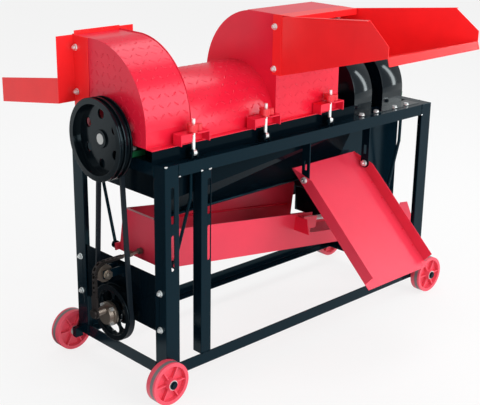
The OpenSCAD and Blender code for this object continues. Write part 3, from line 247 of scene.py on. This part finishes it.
# softened edges: the radius in metres, and the nodes it rounds
edgeRadius = {
    0.0012: ["front_left_leg", "front_right_leg", "back_legs", "second_post", "front_top_rail",
             "back_top_rail", "end_rails", "front_bottom_rail", "back_bottom_rail"],
    0.0006: ["left_housing", "middle_cover", "feed_housing", "feed_hopper", "discharge_chute",
             "cover_brackets", "grain_chute", "sieve_box", "casing_front", "casing_back",
             "fan_housings", "fan_duct", "left_end_plate", "chute_straps", "axle_brackets",
             "cover_hinges", "idler_bracket"],
    0.0015: ["drum_bearings", "crank_bearing", "clamp_knob_1", "clamp_knob_2", "clamp_knob_3",
             "wheel_front_left", "wheel_front_right", "wheel_back_left", "wheel_back_right"],
    0.0008: ["drive_pulley", "belt_pulley", "crank_pulley", "crank_shaft"],
}
edgeLook = {"join": 0.00001, "segments": 2, "sharperThan": 38.0}


def softenEdges(node, radius):
    weld = node.modifiers.new("joined", "WELD")
    weld.merge_threshold = edgeLook["join"]
    bevel = node.modifiers.new("softened", "BEVEL")
    bevel.width = radius
    bevel.segments = edgeLook["segments"]
    bevel.limit_method = "ANGLE"
    bevel.angle_limit = math.radians(edgeLook["sharperThan"])


for radius, names in edgeRadius.items():
    for name in names:
        softenEdges(nodes[name], radius)
print("edges softened")


def finishPiece(bm, name, body, slotName, smooth=True):
    bmesh.ops.recalc_face_normals(bm, faces=bm.faces)
    mesh = bpy.data.meshes.new(name)
    bm.to_mesh(mesh)
    bm.free()
    piece = bpy.data.objects.new(name, mesh)
    scene.collection.objects.link(piece)
    for face in mesh.polygons:
        face.use_smooth = smooth
    mesh.materials.append(paints[slotName])
    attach(piece, body)


# pressed lozenges of the covers' tread plate
treadPlate = {
    "step": 26.0,
    "half": (9.0, 2.3, 0.5),
    "turn": 38.0,
    "segments": (8, 4),
    "cover": {"radius": 156.0, "y": 0.0, "z": 661.0, "from": 8.0, "to": 172.0, "x0": -430.0, "x1": -128.0},
    "arch": {"radius": 217.0, "y": 62.0, "z": 702.0, "from": 95.0, "to": 176.0, "x0": -584.0, "x1": -446.0},
    "plate": {"x": -592.0, "y0": -130.0, "y1": 150.0, "z0": 672.0, "z1": 905.0},
    # the left plate's marks keep off the shaft's hole, the arched rim and the tray's mouth
    "keepOff": {"shaftZ": 661.0, "shaftR": 74.0, "rim": 12.0, "mouthY": 82.0, "mouthZ": 700.0},
    "feed": {"y": -165.0, "x0": -112.0, "x1": 134.0, "z0": 676.0, "z1": 790.0},
}


def spaced(first, last):
    return [first + i * treadPlate["step"] for i in range(int((last - first) / treadPlate["step"]) + 1)]


def lozenge(bm, where, outward, along, row, column):
    turn = treadPlate["turn"] if (row + column) % 2 else -treadPlate["turn"]
    across = outward.cross(along)
    frameTurn = Matrix((along, across, outward)).transposed().to_4x4()
    place = Matrix.Translation(where) @ frameTurn @ Matrix.Rotation(math.radians(turn), 4, "Z")
    half = [value / 1000 for value in treadPlate["half"]]
    place = place @ Matrix.Diagonal((*half, 1))
    around, upward = treadPlate["segments"]
    bmesh.ops.create_uvsphere(bm, u_segments=around, v_segments=upward, radius=1, matrix=place)


def rolledLozenges(bm, patch):
    rowStep = math.degrees(treadPlate["step"] / patch["radius"])
    for row in range(int((patch["to"] - patch["from"]) / rowStep) + 1):
        angle = math.radians(patch["from"] + row * rowStep)
        outward = Vector((0, math.cos(angle), math.sin(angle)))
        for column, x in enumerate(spaced(patch["x0"], patch["x1"])):
            centre = Vector((x, patch["y"], patch["z"])) + outward * patch["radius"]
            lozenge(bm, at(*centre), outward, Vector((1, 0, 0)), row, column)


def flatLozenges(bm, patch, inside):
    for row, y in enumerate(spaced(patch["y0"], patch["y1"])):
        for column, z in enumerate(spaced(patch["z0"], patch["z1"])):
            if inside(y, z):
                where = at(patch["x"], y, z)
                lozenge(bm, where, Vector((-1, 0, 0)), Vector((0, 0, 1)), row, column)


def feedLozenges(bm, patch):
    for row, z in enumerate(spaced(patch["z0"], patch["z1"])):
        for column, x in enumerate(spaced(patch["x0"], patch["x1"])):
            where = at(x, patch["y"], z)
            lozenge(bm, where, Vector((0, -1, 0)), Vector((1, 0, 0)), row, column)


def onLeftPlate(y, z):
    arch, keepOff = treadPlate["arch"], treadPlate["keepOff"]
    clearOfShaft = math.hypot(y, z - keepOff["shaftZ"]) > keepOff["shaftR"]
    underArch = y > arch["y"] or math.hypot(y - arch["y"], z - arch["z"]) < arch["radius"] - keepOff["rim"]
    clearOfMouth = y < keepOff["mouthY"] or z < keepOff["mouthZ"]
    return clearOfShaft and underArch and clearOfMouth


bm = bmesh.new()
rolledLozenges(bm, treadPlate["cover"])
finishPiece(bm, "tread_marks_cover", "frame", "red_paint")
bm = bmesh.new()
rolledLozenges(bm, treadPlate["arch"])
flatLozenges(bm, treadPlate["plate"], onLeftPlate)
finishPiece(bm, "tread_marks_left_housing", "frame", "red_paint")
bm = bmesh.new()
feedLozenges(bm, treadPlate["feed"])
finishPiece(bm, "tread_marks_feed_housing", "frame", "red_paint")
print("tread plate marked")

# weld beads where the angles meet
weldLook = {"radius": 2.6, "spread": (0.8, 1.15), "step": 3.4, "shake": 0.7, "seed": 7}
random.seed(weldLook["seed"])


def weldBead(bm, start, end):
    run = end - start
    count = max(2, int(run.length / weldLook["step"]))
    for i in range(count + 1):
        shake = Vector([random.uniform(-1, 1) * weldLook["shake"] for _ in range(3)])
        where = start + run * i / count + shake
        size = weldLook["radius"] * random.uniform(*weldLook["spread"]) / 1000
        place = Matrix.Translation(at(*where))
        bmesh.ops.create_icosphere(bm, subdivisions=1, radius=size, matrix=place)


beads = {
    "corners": [(527.0, 210.5), (575.0, 162.5)],
    "heights": [(585, 616), (2, 34)],
    "postX": (-447, -412),
    "postY": -210.5,
    "postHeights": (36, 583),
}
beadRuns = []
for side in (-1, 1):
    for face in (-1, 1):
        for x, y in beads["corners"]:
            for low, high in beads["heights"]:
                beadRuns.append(((side * x, face * y, low), (side * x, face * y, high)))
for level in beads["postHeights"]:
    beadRuns.append([(x, beads["postY"], level) for x in beads["postX"]])
bm = bmesh.new()
for start, end in beadRuns:
    weldBead(bm, Vector(start), Vector(end))
finishPiece(bm, "weld_beads", "frame", "black_paint")

# light zinc-coloured weld dots at the top corners, from one x to another at a height
brightSpots = {
    "y": -211,
    "runs": [(-447, -443, 584), (-420, -414, 584), (-574, -568, 617), (-527, -524, 584), (527, 524, 584)],
}
bm = bmesh.new()
for start, end, height in brightSpots["runs"]:
    y = brightSpots["y"]
    weldBead(bm, Vector((start, y, height)), Vector((end, y, height)))
finishPiece(bm, "bright_weld_spots", "frame", "zinc")

chuteLook = {"pinY": -190.5, "pinZ": 463.0, "slope": 43.0, "ahead": 56.0, "under": 16.5,
             "x0": -14.0, "x1": 272.0}
spotWeld = {"inset": 7.0, "along": range(60, 420, 60), "lift": 0.1, "radius": 2.8, "flat": 0.25}


def onChute(x, s, n):
    slope = math.radians(chuteLook["slope"])
    y = chuteLook["ahead"] - s
    z = n - chuteLook["under"]
    return at(x, chuteLook["pinY"] + y * math.cos(slope) - z * math.sin(slope),
              chuteLook["pinZ"] + y * math.sin(slope) + z * math.cos(slope))


tilt = Matrix.Rotation(math.radians(chuteLook["slope"]), 4, "X")
flatten = Matrix.Diagonal((1, 1, spotWeld["flat"], 1))
bm = bmesh.new()
for x in (chuteLook["x0"] + spotWeld["inset"], chuteLook["x1"] - spotWeld["inset"]):
    for s in spotWeld["along"]:
        place = Matrix.Translation(onChute(x, s, spotWeld["lift"])) @ tilt @ flatten
        bmesh.ops.create_uvsphere(bm, u_segments=12, v_segments=6, radius=spotWeld["radius"] / 1000,
                                  matrix=place)
finishPiece(bm, "chute_spot_welds", "grain_chute", "red_paint")
print("welds laid")

# nuts and bolt ends
toLeft = (-1, 0, 0)
toFront = (0, -1, 0)
# bars, washers, hexes and studs: how far out each starts and ends, and its radius there
boltEnds = {
    "bars": [(6.0, 10.5, 4.4, 4.4), (10.5, 11.5, 4.4, 3.5)],
    "endPlate": {"x": -575, "y": (-186.5, 186.5), "z": (143, 253)},
    "tray": {"x": -594, "y": (146,), "z": (762, 886)},
    "hopper": {"x": -124, "y": (-157,), "z": (812, 933)},
}
pivotNuts = {"x": (-14.5, 265.4), "washer": (0.0, 1.7, 10.6, 10.6), "hex": (1.5, 8.0, 9.4, 9.4),
             "stud": (7.5, 12.0, 4.4, 3.5)}
idlerNut = {"washer": (19.2, 20.6, 13.6, 13.6), "hex": (20.4, 27.4, 12.9, 12.9),
            "stud": (27.2, 31.0, 6.6, 5.4)}
hubBolts = {"x": -617.0, "z": 142.0, "out": 31.0, "radius": 6.4, "height": 7.5,
            "turns": (45, 135, 225, 315)}


def roundBar(bm, start, outward, low, high, radius, endRadius, segments=16):
    outward = Vector(outward)
    middle = at(*(Vector(start) + outward * (low + high) / 2))
    place = Matrix.Translation(middle) @ outward.to_track_quat("Z", "Y").to_matrix().to_4x4()
    bmesh.ops.create_cone(bm, cap_ends=True, segments=segments, radius1=radius / 1000,
                          radius2=endRadius / 1000, depth=(high - low) / 1000, matrix=place)


def nut(bm, start, outward, look):
    roundBar(bm, start, outward, *look["washer"])
    roundBar(bm, start, outward, *look["hex"], segments=6)
    roundBar(bm, start, outward, *look["stud"])


bm = bmesh.new()
for spot in (boltEnds["endPlate"], boltEnds["tray"], boltEnds["hopper"]):
    for y in spot["y"]:
        for z in spot["z"]:
            for bar in boltEnds["bars"]:
                roundBar(bm, (spot["x"], y, z), toLeft, *bar)
finishPiece(bm, "bolt_ends", "frame", "zinc", smooth=False)

bm = bmesh.new()
for x in pivotNuts["x"]:
    nut(bm, (x, chuteLook["pinY"], chuteLook["pinZ"]), toLeft, pivotNuts)
finishPiece(bm, "pivot_nuts", "frame", "zinc", smooth=False)

bm = bmesh.new()
for degrees in hubBolts["turns"]:
    angle = math.radians(degrees)
    y = hubBolts["out"] * math.sin(angle)
    z = hubBolts["z"] + hubBolts["out"] * math.cos(angle)
    roundBar(bm, (hubBolts["x"], y, z), toLeft, 0, hubBolts["height"],
             hubBolts["radius"], hubBolts["radius"], segments=6)
finishPiece(bm, "hub_bolts", "crank", "zinc", smooth=False)

idlerAxis = middleOf("idler_roller") * 1000 - drawingShift
bm = bmesh.new()
nut(bm, (idlerAxis.x, 0, idlerAxis.z), toFront, idlerNut)
finishPiece(bm, "idler_nut", "frame", "bare_steel", smooth=False)
print("nuts on")

# folded sheet details
sieveLook = {"x0": -495.0, "z0": 278.0, "slope": 8.0, "flangeU": 532.0, "flangeT": 3.0,
             "flange": [(-101.5, 62), (-101.5, 108), (-150, 108), (-166, 62)],
             "ledge": {"u": (60, 700), "y": (89, 100.5), "v": (84, 88)}}
rolledEdge = {"x0": -520.0, "x1": 222.0, "y": -97.5, "z": 431.0, "radius": 4.5}


def onSieve(u, y, v):
    slope = math.radians(sieveLook["slope"])
    return at(sieveLook["x0"] + u * math.cos(slope) + v * math.sin(slope), y,
              sieveLook["z0"] - u * math.sin(slope) + v * math.cos(slope))


bm = bmesh.new()
corners = [bm.verts.new(onSieve(sieveLook["flangeU"], y, v)) for y, v in sieveLook["flange"]]
face = bm.faces.new(corners)
pulled = bmesh.ops.extrude_face_region(bm, geom=[face])["geom"]
thickness = onSieve(sieveLook["flangeT"], 0, 0) - onSieve(0, 0, 0)
farSide = [item for item in pulled if isinstance(item, bmesh.types.BMVert)]
bmesh.ops.translate(bm, vec=thickness, verts=farSide)
finishPiece(bm, "spring_bracket_flange", "sieve", "red_paint", smooth=False)

ledge = sieveLook["ledge"]
bm = bmesh.new()
bmesh.ops.create_cube(bm, size=1)
for vert in bm.verts:
    u, y, v = (ledge[axis][0 if value < 0 else 1] for axis, value in zip("uyv", vert.co))
    vert.co = onSieve(u, y, v)
finishPiece(bm, "screen_ledge", "sieve", "red_paint", smooth=False)

bm = bmesh.new()
roundBar(bm, (rolledEdge["x0"], rolledEdge["y"], rolledEdge["z"]), (1, 0, 0), 0,
         rolledEdge["x1"] - rolledEdge["x0"], rolledEdge["radius"], rolledEdge["radius"])
finishPiece(bm, "guide_rolled_edge", "frame", "black_paint")
print("folded edges on")

# floor and light
studio = {
    "floorHalf": 14.0,
    "floorColour": (0.86, 0.86, 0.86),
    "floorRoughness": 0.9,
    # how much of the floor is plain white to the camera and in reflections
    "whiteShare": 0.8,
    "aim": (0, 0, 0.55),
    "sky": 0.5,
    "lamps": [
        {"name": "key_front", "place": (0.8, -4.4, 2.4), "size": 3.4, "power": 126.0},
        {"name": "key_left", "place": (-3.6, 0.9, 2.9), "size": 1.6, "power": 18.0},
        {"name": "top", "place": (0.9, 0.5, 4.2), "size": 2.4, "power": 50.0},
        # reaches under the casing, into the sieve
        {"name": "low_front", "place": (-1.5, -3.3, 0.8), "size": 0.9, "power": 24.0},
        # the streaks along the fans and covers
        {"name": "streak_right", "place": (3.6, -2.3, 2.0), "size": 0.5, "height": 3.0, "power": 36.0},
    ],
    # what the left faces mirror: a darker strip of floor, seen only in reflections, where the photograph's
    # view bounces off them; it is painted shade on the floor
    "darkStrip": {"start": (-0.59, 0.03), "run": (-0.656, 0.683), "from": 0.3, "to": 3.1, "half": 0.3,
                  "colour": (0.03, 0.03, 0.035), "height": 0.004},
}


def floorMaterial():
    mat = bpy.data.materials.new("floor_white")
    mat.use_nodes = True
    tree = mat.node_tree
    shader = tree.nodes["Principled BSDF"]
    shader.inputs["Base Color"].default_value = (*studio["floorColour"], 1)
    shader.inputs["Roughness"].default_value = studio["floorRoughness"]
    shader.inputs["Specular IOR Level"].default_value = 0.0
    glow = tree.nodes.new("ShaderNodeEmission")
    seen = tree.nodes.new("ShaderNodeLightPath")
    either = tree.nodes.new("ShaderNodeMath")
    either.operation = "MAXIMUM"
    tree.links.new(seen.outputs["Is Camera Ray"], either.inputs[0])
    tree.links.new(seen.outputs["Is Glossy Ray"], either.inputs[1])
    share = tree.nodes.new("ShaderNodeMath")
    share.operation = "MULTIPLY"
    share.inputs[1].default_value = studio["whiteShare"]
    tree.links.new(either.outputs["Value"], share.inputs[0])
    mix = tree.nodes.new("ShaderNodeMixShader")
    tree.links.new(share.outputs["Value"], mix.inputs["Fac"])
    tree.links.new(shader.outputs["BSDF"], mix.inputs[1])
    tree.links.new(glow.outputs["Emission"], mix.inputs[2])
    tree.links.new(mix.outputs["Shader"], tree.nodes["Material Output"].inputs["Surface"])
    return mat


def stageCard(bm, name, mat):
    mesh = bpy.data.meshes.new(name)
    bm.to_mesh(mesh)
    bm.free()
    mesh.materials.append(mat)
    card = bpy.data.objects.new(name, mesh)
    scene.collection.objects.link(card)
    return card


bm = bmesh.new()
bmesh.ops.create_grid(bm, x_segments=1, y_segments=1, size=studio["floorHalf"])
stageCard(bm, "floor", floorMaterial())

# painted shade: the dark strip, seen only in reflections
strip = studio["darkStrip"]
start, run = Vector(strip["start"]), Vector(strip["run"])
middle = start + run * (strip["from"] + strip["to"]) / 2
stripTurn = Matrix.Rotation(math.atan2(run.y, run.x), 3, "Z")
stripMat = bpy.data.materials.new("strip_dark")
stripMat.use_nodes = True
stripMat.node_tree.nodes["Principled BSDF"].inputs["Base Color"].default_value = (*strip["colour"], 1)
bm = bmesh.new()
bmesh.ops.create_grid(bm, x_segments=1, y_segments=1, size=0.5)
bmesh.ops.scale(bm, vec=(strip["to"] - strip["from"], strip["half"] * 2, 1), verts=bm.verts)
bmesh.ops.rotate(bm, cent=(0, 0, 0), matrix=stripTurn, verts=bm.verts)
bmesh.ops.translate(bm, vec=(*middle, strip["height"]), verts=bm.verts)
darkStrip = stageCard(bm, "dark_strip", stripMat)
darkStrip.visible_camera = False
darkStrip.visible_diffuse = False
darkStrip.visible_shadow = False

sky = bpy.data.worlds.new("studio_sky")
scene.world = sky
sky.use_nodes = True
tree = sky.node_tree
background = tree.nodes["Background"]
background.inputs["Color"].default_value = (1, 1, 1, 1)
seen = tree.nodes.new("ShaderNodeLightPath")
strength = tree.nodes.new("ShaderNodeMapRange")
strength.inputs["To Min"].default_value = studio["sky"]
strength.inputs["To Max"].default_value = 1.0
tree.links.new(seen.outputs["Is Camera Ray"], strength.inputs["Value"])
tree.links.new(strength.outputs["Result"], background.inputs["Strength"])

aim = Vector(studio["aim"])
for lamp in studio["lamps"]:
    light = bpy.data.lights.new(lamp["name"], "AREA")
    light.shape = "RECTANGLE"
    light.size = lamp["size"]
    light.size_y = lamp.get("height", lamp["size"])
    light.energy = lamp["power"]
    holder = bpy.data.objects.new(lamp["name"], light)
    holder.location = lamp["place"]
    holder.rotation_euler = (aim - holder.location).to_track_quat("-Z", "Y").to_euler()
    scene.collection.objects.link(holder)

photoView = {"place": (-2.20374, -2.1138, 1.4501), "yaw": 0.7649, "pitch": 0.3269, "roll": 0.0145,
             "lens": 77.04, "sensor": 36.0, "farthest": 60.0}
yaw, pitch, roll = photoView["yaw"], photoView["pitch"], photoView["roll"]
ahead = Vector((math.sin(yaw) * math.cos(pitch), math.cos(yaw) * math.cos(pitch), -math.sin(pitch)))
level = Vector((math.cos(yaw), -math.sin(yaw), 0))
upward = level.cross(ahead)
right = math.cos(roll) * level + math.sin(roll) * upward
up = math.cos(roll) * upward - math.sin(roll) * level
turned = Matrix((right, up, -ahead)).transposed().to_4x4()
lens = bpy.data.cameras.new("photo_view")
lens.lens = photoView["lens"]
lens.sensor_width = photoView["sensor"]
lens.sensor_fit = "HORIZONTAL"
lens.clip_end = photoView["farthest"]
camera = bpy.data.objects.new("photo_view", lens)
camera.matrix_world = Matrix.Translation(photoView["place"]) @ turned
scene.collection.objects.link(camera)
scene.camera = camera
scene.view_settings.view_transform = "Standard"
print("studio set")
